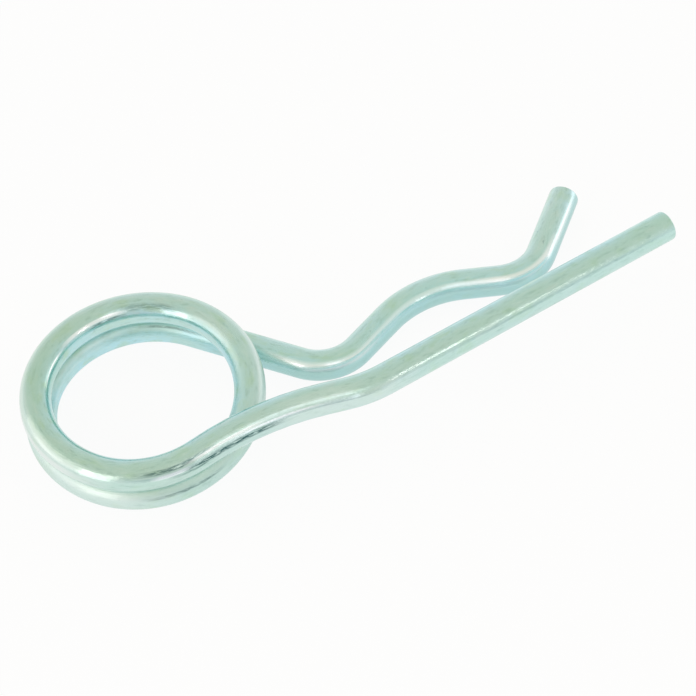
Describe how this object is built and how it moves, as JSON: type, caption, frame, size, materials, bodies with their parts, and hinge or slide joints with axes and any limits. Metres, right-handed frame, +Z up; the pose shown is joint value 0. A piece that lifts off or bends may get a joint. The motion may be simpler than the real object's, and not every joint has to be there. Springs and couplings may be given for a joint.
{
  "type": "hitch r clip pin",
  "caption": "Coiled spring wire R clip: its straight leg passes through a cross hole in a hitch pin, and its wavy leg snaps over the outside to lock it.",
  "frame": {"origin": "middle of the clip's outline in plan, on the flat surface that the clip lies on", "axes": "+X along the straight leg towards its cut end, +Y from the straight leg towards the spring leg, +Z up from the lowest coil turn"},
  "size_m": [0.0842, 0.0352, 0.0102],
  "materials": {
    "zinc_wire": "bright zinc plate on drawn spring wire"
  },
  "bodies": {
    "root": {"r_clip": "zinc_wire"}
  },
  "joints": []
}
